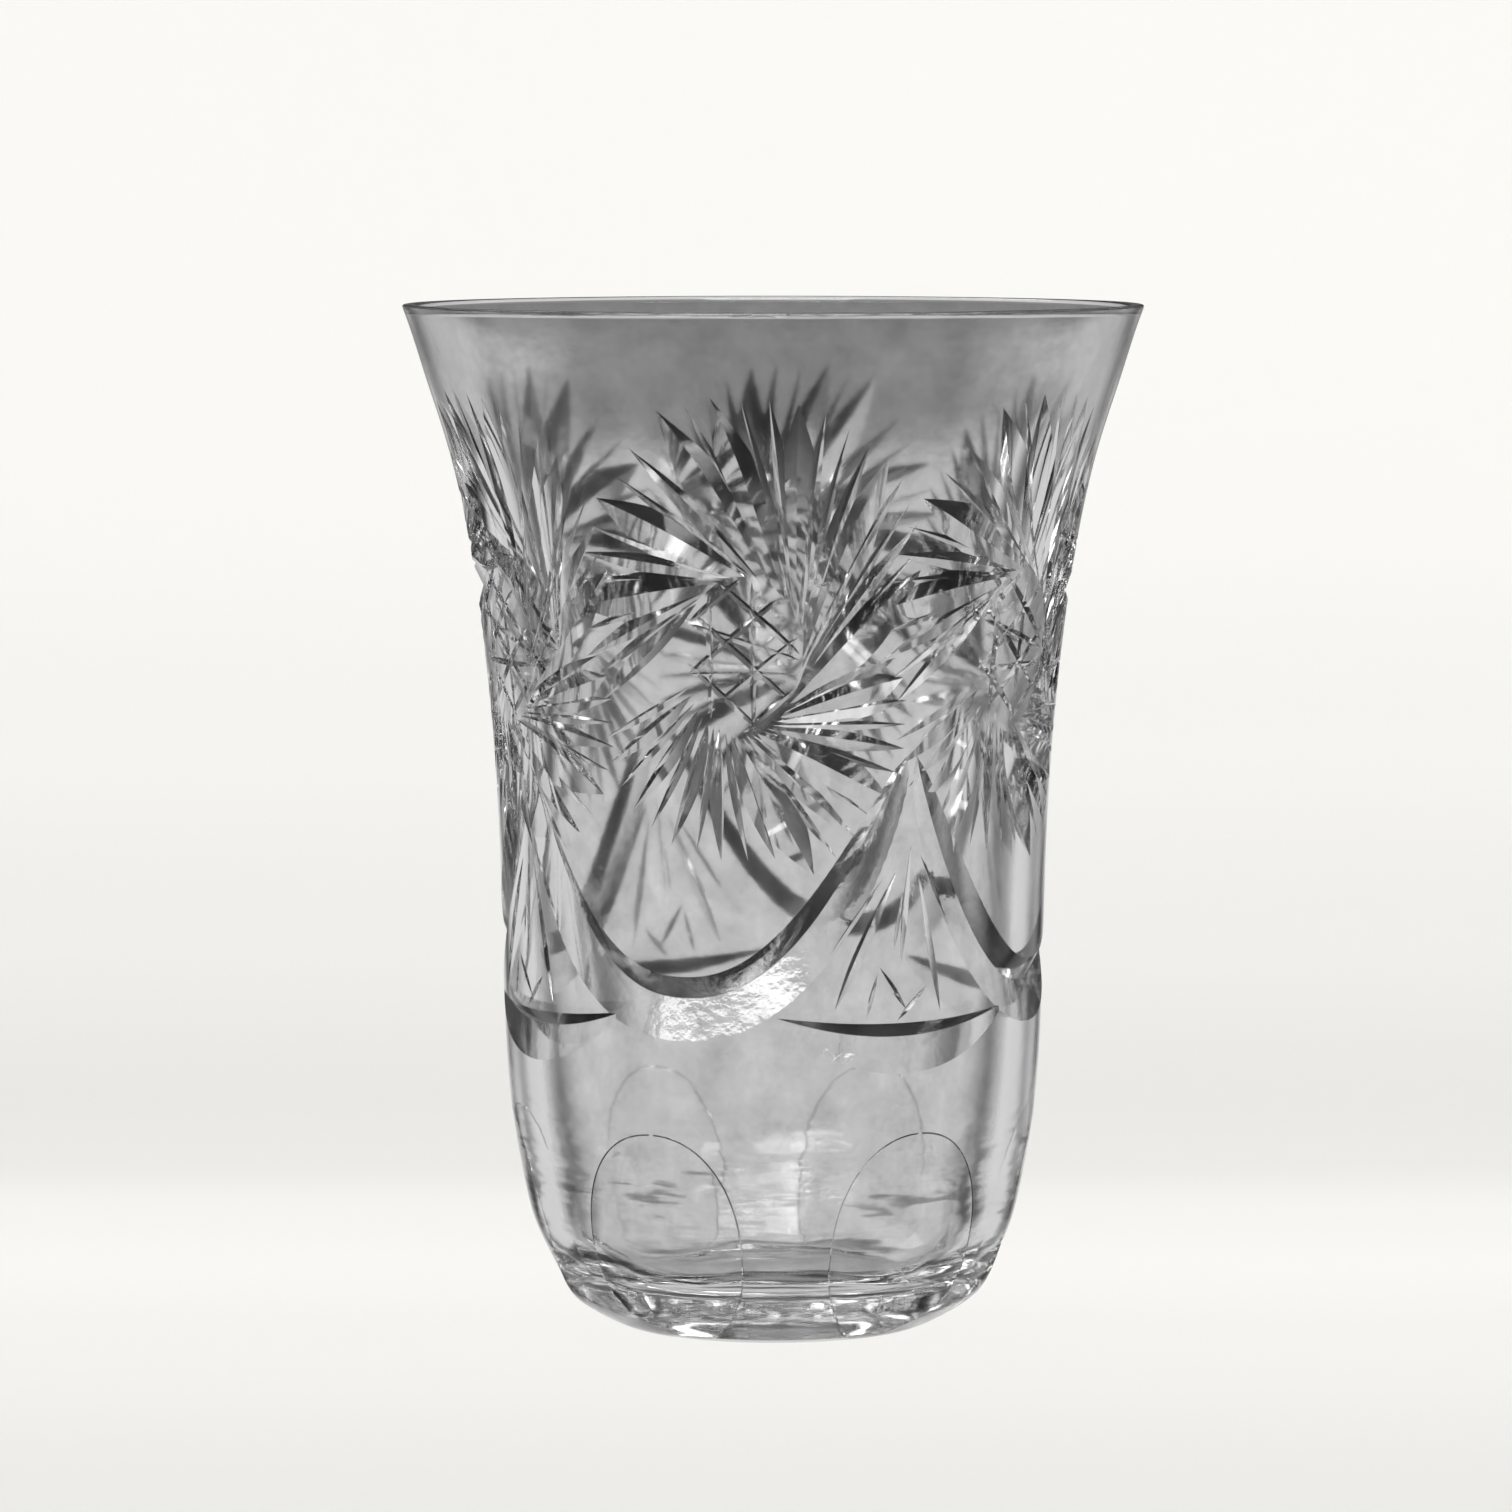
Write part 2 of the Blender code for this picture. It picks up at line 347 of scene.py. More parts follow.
    def low_down(
        self, tree: bpy.types.NodeTree, place: bpy.types.NodeSocket
    ) -> bpy.types.NodeSocket:
        """Share of the ripples at a height: one near the foot, none above `ripple_top`.

        Args:
            tree: the material's nodes.
            place: object coordinates.

        Returns:
            The share's socket.
        """
        split = add_node(tree, "ShaderNodeSeparateXYZ", inputs={0: place})
        low, high = self.ripple_top
        ends = {"From Min": low * MM, "From Max": high * MM, "To Min": 1.0, "To Max": 0.0}
        smooth = {"interpolation_type": "SMOOTHSTEP"}
        values = {"Value": split.outputs["Z"], **ends}
        return add_node(tree, "ShaderNodeMapRange", smooth, values).outputs["Result"]


@dataclass(frozen=True)
class PalePaper:
    """Matt warm-white paper of the floor and backdrop, with painted shade in its white.

    Attributes:
        name: the material's name.
        painted_shades: painted shade in its white, by distance behind the vase in metres. The table
            is painted a little lighter than the backdrop, whose painted white rises slowly away
            from it.
    """

    name: str = "matt_white_paper_painted_shade"
    # painted shade: these greys in the paper's white stand for how the light falls along the sweep
    painted_shades: tuple[tuple[float, str], ...] = (
        (-0.14, "#E9E9E8"),
        (-0.02, "#F1F1F0"),
        (0.05, "#F6F6F5"),
        (0.10, "#F3F3F2"),
        (0.16, "#E9E9E8"),
        (0.23, "#E7E7E6"),
        (0.50, "#EEEEED"),
        (1.00, "#F5F5F4"),
        (1.80, "#FAFAF9"),
    )

    def material(self) -> bpy.types.Material:
        """Build the paper, with painted shade in its white along the floor and up the backdrop.

        Returns:
            The material.
        """
        made = bpy.data.materials.new(self.name)
        made.use_nodes = True
        tree = made.node_tree
        shader = tree.nodes["Principled BSDF"]
        shader.inputs["Roughness"].default_value = 0.9
        shader.inputs["Specular IOR Level"].default_value = 0.1
        place = add_node(tree, "ShaderNodeTexCoord").outputs["Object"]
        split = add_node(tree, "ShaderNodeSeparateXYZ", inputs={0: place})
        # painted shade: the paper's white follows the distance behind the vase
        near, far = self.painted_shades[0][0], self.painted_shades[-1][0]
        along = {"Value": split.outputs["Y"], "From Min": near, "From Max": far}
        way = add_node(tree, "ShaderNodeMapRange", inputs=along)
        ramp = add_node(tree, "ShaderNodeValToRGB", inputs={"Fac": way.outputs["Result"]})
        ramp.color_ramp.interpolation = "EASE"
        fill_ramp(ramp, [((y - near) / (far - near), shade) for y, shade in self.painted_shades])
        tree.links.new(ramp.outputs["Color"], shader.inputs["Base Color"])
        return made


# --------------------------------------------------------------------------- the body


@dataclass(frozen=True)
class Body:
    """Turned body of the vase, uncut.

    Attributes:
        inner: (radius, height) from the middle of the inner floor up to the rim.
        outer: (radius, height) from the rim down to the foot's edge.
        rim_middle: (radius, height) of the middle of the rim's rounding.
        rim_half: half the rim's width, and the height of its rounding.
        rim_square: how squarish that rounding is; 2 is an ellipse.
        flare: degrees by which the wall leans outwards at the rim.
        segments: faces round the body.
        spacing: mm between rings.
        foot_rings: rings across the foot, its middle among them.
    """

    inner: tuple[tuple[float, float], ...] = (
        (0.0, 8.5), (8.9, 8.6), (17.8, 8.95), (24.5, 9.55), (27.6, 11.05), (29.75, 13.55),
        (30.8, 16.35), (31.75, 21.85), (32.55, 26.85), (33.9, 37.0), (35.0, 52.0), (36.0, 71.0),
        (37.45, 88.0), (39.4, 103.5), (42.15, 118.5), (45.2, 130.0), (48.6, 140.0),
    )  # fmt: skip
    outer: tuple[tuple[float, float], ...] = (
        (51.0, 140.0), (47.8, 130.0), (45.1, 118.5), (42.8, 103.5), (41.2, 88.0), (40.2, 71.0),
        (39.7, 52.0), (39.0, 37.0), (37.6, 25.0), (35.5, 15.0), (33.4, 9.0), (30.6, 4.9),
        (26.6, 2.1), (21.0, 0.0),
    )  # fmt: skip
    rim_middle: tuple[float, float] = (52.93, 149.2)
    rim_half: tuple[float, float] = (1.08, 0.8)
    rim_square: float = 4.0
    flare: float = 21.0
    segments: int = 288
    spacing: float = 2.1
    foot_rings: int = 8

    def rim_arc(self, count: int = 19) -> Array:
        """Rounding over the rim, from the inner wall to the outer one.

        It is half of a squarish ellipse, ground flat on top, and leans with the wall: its
        points move out by their height times the tangent of the flare.

        Args:
            count: number of points.

        Returns:
            (count, 2) radius and height.
        """
        turn = np.linspace(np.pi, 0.0, count)
        cosine, sine = np.cos(turn), np.abs(np.sin(turn))
        across = self.rim_half[0] * np.sign(cosine) * np.abs(cosine) ** (2 / self.rim_square)
        up = self.rim_half[1] * sine ** (2 / self.rim_square)
        across = across + up * math.tan(math.radians(self.flare))
        return np.array(self.rim_middle) + np.stack([across, up], axis=1)

    def rim_normals(self, radius: Array, height: Array) -> Array:
        """Directions, outwards and up, in which the rim's rounding faces.

        It is the gradient of the squarish ellipse's formula, with the lean taken into account.

        Args:
            radius: mm from the axis.
            height: mm above the foot.

        Returns:
            (n, 2) directions, not of unit length.
        """
        lean = math.tan(math.radians(self.flare))
        up = np.maximum(height - self.rim_middle[1], 0.0)
        across = radius - self.rim_middle[0] - up * lean
        power = self.rim_square - 1
        side = np.sign(across) * np.abs(across / self.rim_half[0]) ** power / self.rim_half[0]
        top = (up / self.rim_half[1]) ** power / self.rim_half[1]
        return np.stack([side, top - side * lean], axis=1)

    def curve(self, surface: Surface, spacing: float) -> Array:
        """Smooth samples of one side of the wall.

        Args:
            surface: INSIDE, from the floor's middle up, or OUTSIDE, from the rim down.
            spacing: wanted distance between samples.

        Returns:
            (n, 2) radius and height.
        """
        lean = (math.sin(math.radians(self.flare)), math.cos(math.radians(self.flare)))
        rim = self.rim_arc()
        if surface is Surface.INSIDE:
            return smooth_curve(np.array([*self.inner, rim[0]]), spacing, (1.0, 0.0), lean)
        down = (-lean[0], -lean[1])
        return smooth_curve(np.array([rim[-1], *self.outer]), spacing, down, (-1.0, 0.0))

    def fine_outer(self) -> tuple[Array, Array, Array]:
        """The outer wall as a fine table that rises in height.

        Returns:
            Heights, radii, and how fast the radius grows with height.
        """
        samples = self.curve(Surface.OUTSIDE, 0.2)[::-1]
        heights, radii = samples[:, 1], samples[:, 0]
        keep = np.concatenate([[True], np.diff(heights) > 1e-6])
        heights, radii = heights[keep], radii[keep]
        return heights, radii, np.gradient(radii, heights)

    def wall(self, angles: Array, heights: Array) -> tuple[Array, Array]:
        """Places on the outer wall.

        A place is the wall's radius at its height, turned to its angle. Its normal leans by
        the slope of the profile there.

        Args:
            angles: degrees round the body.
            heights: mm above the foot.

        Returns:
            (n, 3) points in mm and (n, 3) unit normals that point outwards.
        """
        table, radii, slopes = self.fine_outer()
        radius = np.interp(heights, table, radii)
        slope = np.interp(heights, table, slopes)
        outward, _ = round_the_axis(angles)
        points = outward * radius[:, None]
        points[:, 2] = heights
        normals = outward.copy()
        normals[:, 2] = -slope
        return points, normals / np.linalg.norm(normals, axis=1, keepdims=True)

    def mesh(self) -> bpy.types.Mesh:
        """Turn both walls round the axis and close the floor and the foot at the axis.

        A point of the grid is (r sin a, -r cos a, h) for each profile sample (r, h) and each
        of the evenly spaced angles a. The inner floor and the foot end in one point each.

        Returns:
            The closed mesh, its faces marked OUTSIDE, INSIDE or RIM.
        """
        inside = self.curve(Surface.INSIDE, self.spacing)
        outside = self.curve(Surface.OUTSIDE, self.spacing)
        rim = self.rim_arc()
        across = np.linspace(outside[-1, 0], 0.0, self.foot_rings)[1:]
        foot = np.stack([across, np.zeros_like(across)], axis=1)
        rings = np.concatenate([inside[1:], rim[1:-1], outside, foot[:-1]])
        outward, _ = round_the_axis(np.arange(self.segments) * 360.0 / self.segments)
        grid = outward[None] * rings[:, 0, None, None]
        grid[..., 2] = rings[:, 1, None]
        count, around = len(rings), self.segments
        points = np.concatenate([grid.reshape(-1, 3), [[0, 0, inside[0, 1]], [0, 0, 0]]])
        index = np.arange(count * around).reshape(count, around)
        onward = np.roll(index, -1, axis=1)
        quads = np.stack([index[:-1], index[1:], onward[1:], onward[:-1]], axis=-1)
        floor = np.stack([index[0], onward[0], np.full(around, count * around)], axis=-1)
        base = np.stack([onward[-1], index[-1], np.full(around, count * around + 1)], axis=-1)
        faces = quads.reshape(-1, 4).tolist() + floor.tolist() + base.tolist()
        surfaces = np.full(len(faces), Surface.OUTSIDE.value)
        walls = len(inside) - 2
        surfaces[: walls * around] = Surface.INSIDE.value
        surfaces[walls * around : (walls + len(rim) - 1) * around] = Surface.RIM.value
        surfaces[(count - 1) * around : count * around] = Surface.INSIDE.value
        return new_mesh("vase_turned", points, faces, surfaces)

    def normals_on(self, points: Array, surface: Surface) -> Array:
        """True normals of the turned wall at places on it.

        Radius and height both grow along each side of the profile, so height plus half the
        radius marks a place on it, and the profile's normal is read off at that mark. On the
        rim the normal comes from the formula of its rounding.

        Args:
            points: (n, 3) in mm, on that surface.
            surface: OUTSIDE, INSIDE or RIM.

        Returns:
            (n, 3) unit normals that point out of the glass.
        """
        radius = np.hypot(points[:, 0], points[:, 1])
        outward = points[:, :2] / np.maximum(radius, 1e-6)[:, None]
        if surface is Surface.RIM:
            facing = self.rim_normals(radius, points[:, 2])
            normals = np.concatenate([outward * facing[:, :1], facing[:, 1:]], axis=1)
            return normals / np.linalg.norm(normals, axis=1, keepdims=True)
        samples = self.curve(surface, 0.1)
        if surface is Surface.OUTSIDE:
            samples = np.concatenate([[[0.0, 0.0]], samples[::-1]])
        marks = samples[:, 1] + 0.5 * samples[:, 0]
        run = np.gradient(samples, axis=0)
        sign = 1.0 if surface is Surface.OUTSIDE else -1.0
        across, up = sign * run[:, 1], -sign * run[:, 0]
        at = points[:, 2] + 0.5 * radius
        lean_out, lean_up = np.interp(at, marks, across), np.interp(at, marks, up)
        normals = np.concatenate([outward * lean_out[:, None], lean_up[:, None]], axis=1)
        return normals / np.maximum(np.linalg.norm(normals, axis=1, keepdims=True), 1e-9)


# --------------------------------------------------------------------------- the cuts


@dataclass
class Groove:
    """One V cut: a wheel's edge carried along a path on the wall.

    Attributes:
        angles: degrees of each station.
        heights: mm of each station.
        depths: how deep the edge goes at each station; below zero it is clear of the wall.
        left_run: mm sideways for each mm of depth on the left of the path, seen from outside.
        right_run: the same on the right.
        lift: mm by which the V's upper corners stand above the wall.
    """

    angles: Array
    heights: Array
    depths: Array
    left_run: float
    right_run: float
    lift: float = 0.6

    def shell(self, body: Body) -> tuple[Array, list]:
        """Carry the V along the path.

        At each station the section has its point `depth` under the wall and its two upper
        corners `lift` above it, each out to its side by its run times depth plus lift.

        Args:
            body: the wall that is cut.

        Returns:
            (3 n, 3) points in mm and the faces of the closed shell.
        """
        points, normals = body.wall(self.angles, self.heights)
        ahead = np.gradient(points, axis=0)
        side = np.cross(normals, ahead)
        side /= np.linalg.norm(side, axis=1, keepdims=True)
        reach = (self.depths + self.lift)[:, None]
        low = points - normals * self.depths[:, None]
        high = points + normals * self.lift
        left, right = high + side * reach * self.left_run, high - side * reach * self.right_run
        shell = np.stack([low, left, right], axis=1).reshape(-1, 3)
        count = len(points)
        start = 3 * np.arange(count - 1)[:, None]
        turn = np.arange(3)
        nxt = (turn + 1) % 3
        quads = np.stack([start + turn, start + nxt, start + 3 + nxt, start + 3 + turn], axis=-1)
        last = 3 * (count - 1)
        return shell, quads.reshape(-1, 4).tolist() + [[0, 2, 1], [last, last + 1, last + 2]]


def leaf(count: int, deepest: float, fullest: float = 0.5, power: float = 1.0) -> Array:
    """Depths of a cut that fades out at both ends.

    The depth follows half a sine wave, raised to a power and with its top moved to a share of
    the length. It starts and ends a little above the wall.

    Args:
        count: number of stations.
        deepest: mm at the deepest place.
        fullest: share of the length at which that is.
        power: below 1 for blunter ends.

    Returns:
        One depth for each station.
    """
    t = np.linspace(0.0, 1.0, count)
    warped = np.where(t < fullest, 0.5 * t / fullest, 1 - 0.5 * (1 - t) / (1 - fullest))
    half_wave = np.sin(np.pi * warped).clip(0) ** power
    return (deepest + CLEAR_OF_WALL) * half_wave - CLEAR_OF_WALL


@dataclass(frozen=True)
class Flutes:
    """Broad shallow ovals ground round the base.

    Attributes:
        count: how many.
        first: angle of the first one's middle.
        half_width: degrees from its middle to its widest side.
        middle: height of the widest place.
        up, down: mm from there to its top and its bottom.
        square: how squarish the oval is; 2 is an ellipse.
        flat_below, full_above: heights between which the face turns from flat to crowned.
        crown: share of the flat face's depth that the crowned face has.
        margin: degrees by which the wheel is wider than the oval.
        edge_depth, edge_run: depth of the fine line round the oval and its run per mm of it.
        rows, columns: points up and across each ground face.
        clear_of_wall: radius at which the cutter ends.
    """

    count: int = 6
    first: float = 33.0
    half_width: float = 19.8
    middle: float = 13.0
    up: float = 19.3
    down: float = 12.6
    square: float = 2.15
    flat_below: float = 4.0
    full_above: float = 17.5
    crown: float = 0.13
    margin: float = 4.0
    edge_depth: float = 0.14
    edge_run: float = 0.8
    rows: int = 49
    columns: int = 37
    clear_of_wall: float = 60.0

    def middles(self) -> list[float]:
        """Angles of the ovals' middles."""
        return [self.first + 360.0 / self.count * k for k in range(self.count)]

    def oval(self, t: Array) -> tuple[Array, Array]:
        """Heights and half widths of the oval.

        The half width is the widest one times (1 - |t|^s)^(1/s), which is an ellipse where
        the squareness s is 2.

        Args:
            t: from 1 at the top of the oval to -1 at its bottom.

        Returns:
            Heights in mm and half widths in degrees.
        """
        shrink = (1 - np.abs(t) ** self.square).clip(0) ** (1 / self.square)
        return self.middle + t * np.where(t > 0, self.up, self.down), self.half_width * shrink

    def face(self, body: Body, heights: Array, turn: Array) -> Array:
        """Radius of the ground face.

        At each height the oval has a half width w. A flat face would lie at
        R cos(w) / cos(a) at the angle a from its middle, R being the wall's radius. The face
        lies between that and R, by a share that falls from one near the foot to `crown` near
        the top.

        Args:
            body: the wall that is cut.
            heights: mm.
            turn: degrees from the middle of the oval, in a shape that broadcasts with heights.

        Returns:
            Radii in mm.
        """
        off = heights - self.middle
        _, width = self.oval(off / np.where(off > 0, self.up, self.down))
        table, radii, _ = body.fine_outer()
        wall = np.interp(heights, table, radii)
        rise = ((heights - self.flat_below) / (self.full_above - self.flat_below)).clip(0, 1)
        share = 1 - (1 - self.crown) * rise * rise * (3 - 2 * rise)
        return wall - share * wall * (1 - np.cos(np.radians(width)) / np.cos(np.radians(turn)))

    def normals_on(self, body: Body, points: Array) -> Array:
        """True normals of the ground faces, from small steps up and round.

        Args:
            body: the wall that is cut.
            points: (n, 3) in mm, on the faces.

        Returns:
            (n, 3) unit normals that point out of the glass.
        """
        step, pitch = 0.05, 360.0 / self.count
        angles = np.degrees(np.arctan2(points[:, 0], -points[:, 1])) - self.first
        turn = (angles + pitch / 2) % pitch - pitch / 2
        low, high = self.middle - self.down + step, self.middle + self.up - step
        heights = points[:, 2].clip(low + step, high - step)
        radius = self.face(body, heights, turn)
        up = self.face(body, heights + step, turn) - self.face(body, heights - step, turn)
        up /= 2 * step
        round_it = self.face(body, heights, turn + step) - self.face(body, heights, turn - step)
        round_it /= 2 * math.radians(step) * radius
        outward = points[:, :2] / np.hypot(points[:, 0], points[:, 1])[:, None]
        onward = np.stack([-outward[:, 1], outward[:, 0]], axis=1)
        flat = outward - onward * round_it[:, None]
        normals = np.concatenate([flat, -up[:, None]], axis=1)
        return normals / np.linalg.norm(normals, axis=1, keepdims=True)

    def outlines(self) -> list[list[Groove]]:
        """Fine lines that the wheel's edge leaves along both sides of each oval.

        Returns:
            A set of left sides and a set of right sides.
        """
        heights, width = self.oval(np.cos(np.linspace(0.02, np.pi - 0.25, self.rows)))
        depths = np.full(self.rows, self.edge_depth)
        fine = (self.edge_run, self.edge_run, self.edge_depth)
        return [
            [Groove(at + side * width, heights, depths, *fine) for at in self.middles()]
            for side in (-1.0, 1.0)
        ]

    def shells(self, body: Body) -> list[tuple[Array, list]]:
        """Blocks whose inner face meets the wall exactly on the oval's outline.

        Args:
            body: the wall that is cut.

        Returns:
            Points and faces of each block.
        """
        heights, _ = self.oval(np.cos(np.linspace(0.0, np.pi, self.rows)))
        edge = self.half_width + self.margin
        turn = np.linspace(-edge, edge, self.columns)
        face = self.face(body, heights[:, None], turn)
        heights = np.concatenate([heights[:1] + 3.0, heights, heights[-1:] - 2.5])
        face = np.concatenate([face[:1] + 3.0, face, face[-1:] + 2.0])
        rows, columns = face.shape
        index = np.arange(rows * columns).reshape(rows, columns)
        quads = np.stack([index[:-1, :-1], index[:-1, 1:], index[1:, 1:], index[1:, :-1]], axis=-1)
        quads = quads.reshape(-1, 4)
        border = np.concatenate([index[0, :-1], index[:-1, -1], index[-1, :0:-1], index[:0:-1, 0]])
        onward, far = np.roll(border, -1), rows * columns
        sides = np.stack([border, border + far, onward + far, onward], axis=1)
        faces = np.concatenate([quads, sides, quads[:, ::-1] + far]).tolist()
        shells = []
        for at in self.middles():
            outward, _ = round_the_axis(at + turn)
            near = outward * face[:, :, None]
            away = outward * np.full((rows, columns, 1), self.clear_of_wall)
            near[:, :, 2] = away[:, :, 2] = heights[:, None]
            points = np.concatenate([near.reshape(-1, 3), away.reshape(-1, 3)])
            shells.append((points, faces))
        return shells


@dataclass(frozen=True)
class Swags:
    """Deep mitre cuts that hang in bows round the body.

    Attributes:
        count: how many.
        lowest_at: angle of the middle of the first one.
        low, high: heights of its lowest point and of its ends.
        power: how its height grows with the way from the lowest point.
        lean: how far that point lies off the middle, as a share of half the span.
        depth: mm at its deepest.
        upper_run, lower_run: mm up and down the wall for each mm of depth.
        stations: points along it.
    """

    count: int = 4
    lowest_at: float = -16.5
    low: float = 52.2
    high: float = 87.0
    power: float = 2.3
    lean: float = 0.06
    depth: float = 1.6
    upper_run: float = 2.05
    lower_run: float = 3.8
    stations: int = 61

    def joints(self) -> Array:
        """Angles at which two swags meet."""
        return self.lowest_at + 360.0 / self.count * (np.arange(self.count) + 0.5)

    def grooves(self) -> list[list[Groove]]:
        """Bows whose height grows with a power of the way from their lowest point.

        The lowest point is a little off the middle, by the lean.

        Returns:
            One set of grooves, which don't touch each other.
        """
        t = np.linspace(-1.0, 1.0, self.stations)
        depths = (self.depth + CLEAR_OF_WALL) * (1 - t**4).clip(0) ** 0.6 - CLEAR_OF_WALL
        half = 180.0 / self.count - 1.0
        made = []
        for k in range(self.count):
            angles = self.lowest_at + 360.0 / self.count * k + t * half
            off = np.abs(t + self.lean * (1 - t * t))
            heights = self.low + (self.high - self.low) * off**self.power
            made.append(Groove(angles, heights, depths, self.upper_run, self.lower_run))
        return [made]


@dataclass(frozen=True)
class Crescents:
    """Short wide cuts under the joints of the swags.

    Attributes:
        half_span: degrees from the middle to each tip.
        tip: height of the tips.
        sag: how much lower the middle is.
        depth: mm at its deepest.
        upper_run, lower_run: mm up and down the wall for each mm of depth.
        stations: points along it.
    """

    half_span: float = 28.0
    tip: float = 49.8
    sag: float = 3.4
    depth: float = 1.45
    upper_run: float = 1.5
    lower_run: float = 3.7
    stations: int = 37

    def grooves(self, joints: Array) -> list[list[Groove]]:
        """Arcs that sag between their tips as a parabola does.

        Args:
            joints: the middles of the crescents, in degrees.

        Returns:
            One set of grooves, which don't touch each other.
        """
        t = np.linspace(-1.0, 1.0, self.stations)
        heights = self.tip - self.sag * (1 - t * t)
        depths = leaf(self.stations, self.depth, power=0.8)
        runs = (self.upper_run, self.lower_run)
        return [[Groove(at + t * self.half_span, heights, depths, *runs) for at in joints]]


@dataclass(frozen=True)
class Sprays:
    """Thin cuts that spread downwards under the joints, with two ticks that cross.

    Attributes:
        apex: height from which the rays spread.
        aside: degrees from the joint to the apex.
        rays: for each ray its lean from straight down in degrees, where it starts and ends
            along it in mm, its depth and its run.
        ticks: each one's ends, as mm across from the joint and height above the foot.
        tick_depth, tick_run: their depth, and their run for each mm of it.
        stations: points along a ray or a tick.
    """

    apex: float = 75.5
    aside: float = 0.6
    rays: tuple[tuple[float, float, float, float, float], ...] = (
        (-36.0, 7.0, 22.0, 0.45, 0.9),
        (-25.0, 5.0, 27.5, 0.8, 1.1),
        (-14.5, 20.0, 27.0, 0.45, 0.8),
        (-9.0, 8.0, 17.0, 0.4, 0.8),
        (-4.5, 1.0, 19.0, 0.55, 0.9),
        (12.0, 5.0, 26.5, 0.65, 0.9),
        (27.0, 3.0, 14.5, 0.5, 0.8),
    )
    ticks: tuple[tuple[float, float, float, float], ...] = (
        (-4.5, 56.9, 0.2, 50.2),
        (3.4, 53.8, -1.6, 48.8),
    )
    tick_depth: float = 0.45
    tick_run: float = 0.9
    stations: int = 17

    def grooves(self, joints: Array) -> list[list[Groove]]:
        """Straight rays from the apex, then the ticks, on the wall unrolled at its radius.

        Args:
            joints: the angles under which the sprays hang.

        Returns:
            One set of grooves for each ray and each tick.
        """
        sets = []
        t = np.linspace(0.0, 1.0, self.stations)
        per_mm = math.degrees(1 / 40.0)  # degrees for a mm at the wall's radius there
        for lean, start, end, depth, run in self.rays:
            along = start + (end - start) * t
            across = along * math.sin(math.radians(lean)) * per_mm + self.aside
            heights = self.apex - along * math.cos(math.radians(lean))
            depths = leaf(len(t), depth, fullest=0.6)
            sets.append([Groove(at + across, heights, depths, run, run) for at in joints])
        for x0, z0, x1, z1 in self.ticks:
            across = (x0 + (x1 - x0) * t) * per_mm
            heights = z0 + (z1 - z0) * t
            depths, runs = leaf(len(t), self.tick_depth), (self.tick_run, self.tick_run)
            sets.append([Groove(at + across, heights, depths, *runs) for at in joints])
        return sets


@dataclass(frozen=True)
class Fan:
    """Blades that swing out from one side of a hub.

    Attributes:
        tips: direction of the first and last tips from the hub's middle, in degrees.
        reach: mm from the hub's middle to the first and last tips.
        bulge: how much further the middle tips reach.
        roots: where round the hub the first and last blades start, in degrees.
        count: how many blades.
        leaves: which of them are broad leaves.
        upper_run: mm sideways for each mm of depth on the blades' upper flank.
        lower_run: the same on the lower flank.
    """

    tips: tuple[float, float]
    reach: tuple[float, float]
    bulge: float
    roots: tuple[float, float]
    count: int
    leaves: tuple[int, ...]
    upper_run: float
    lower_run: float


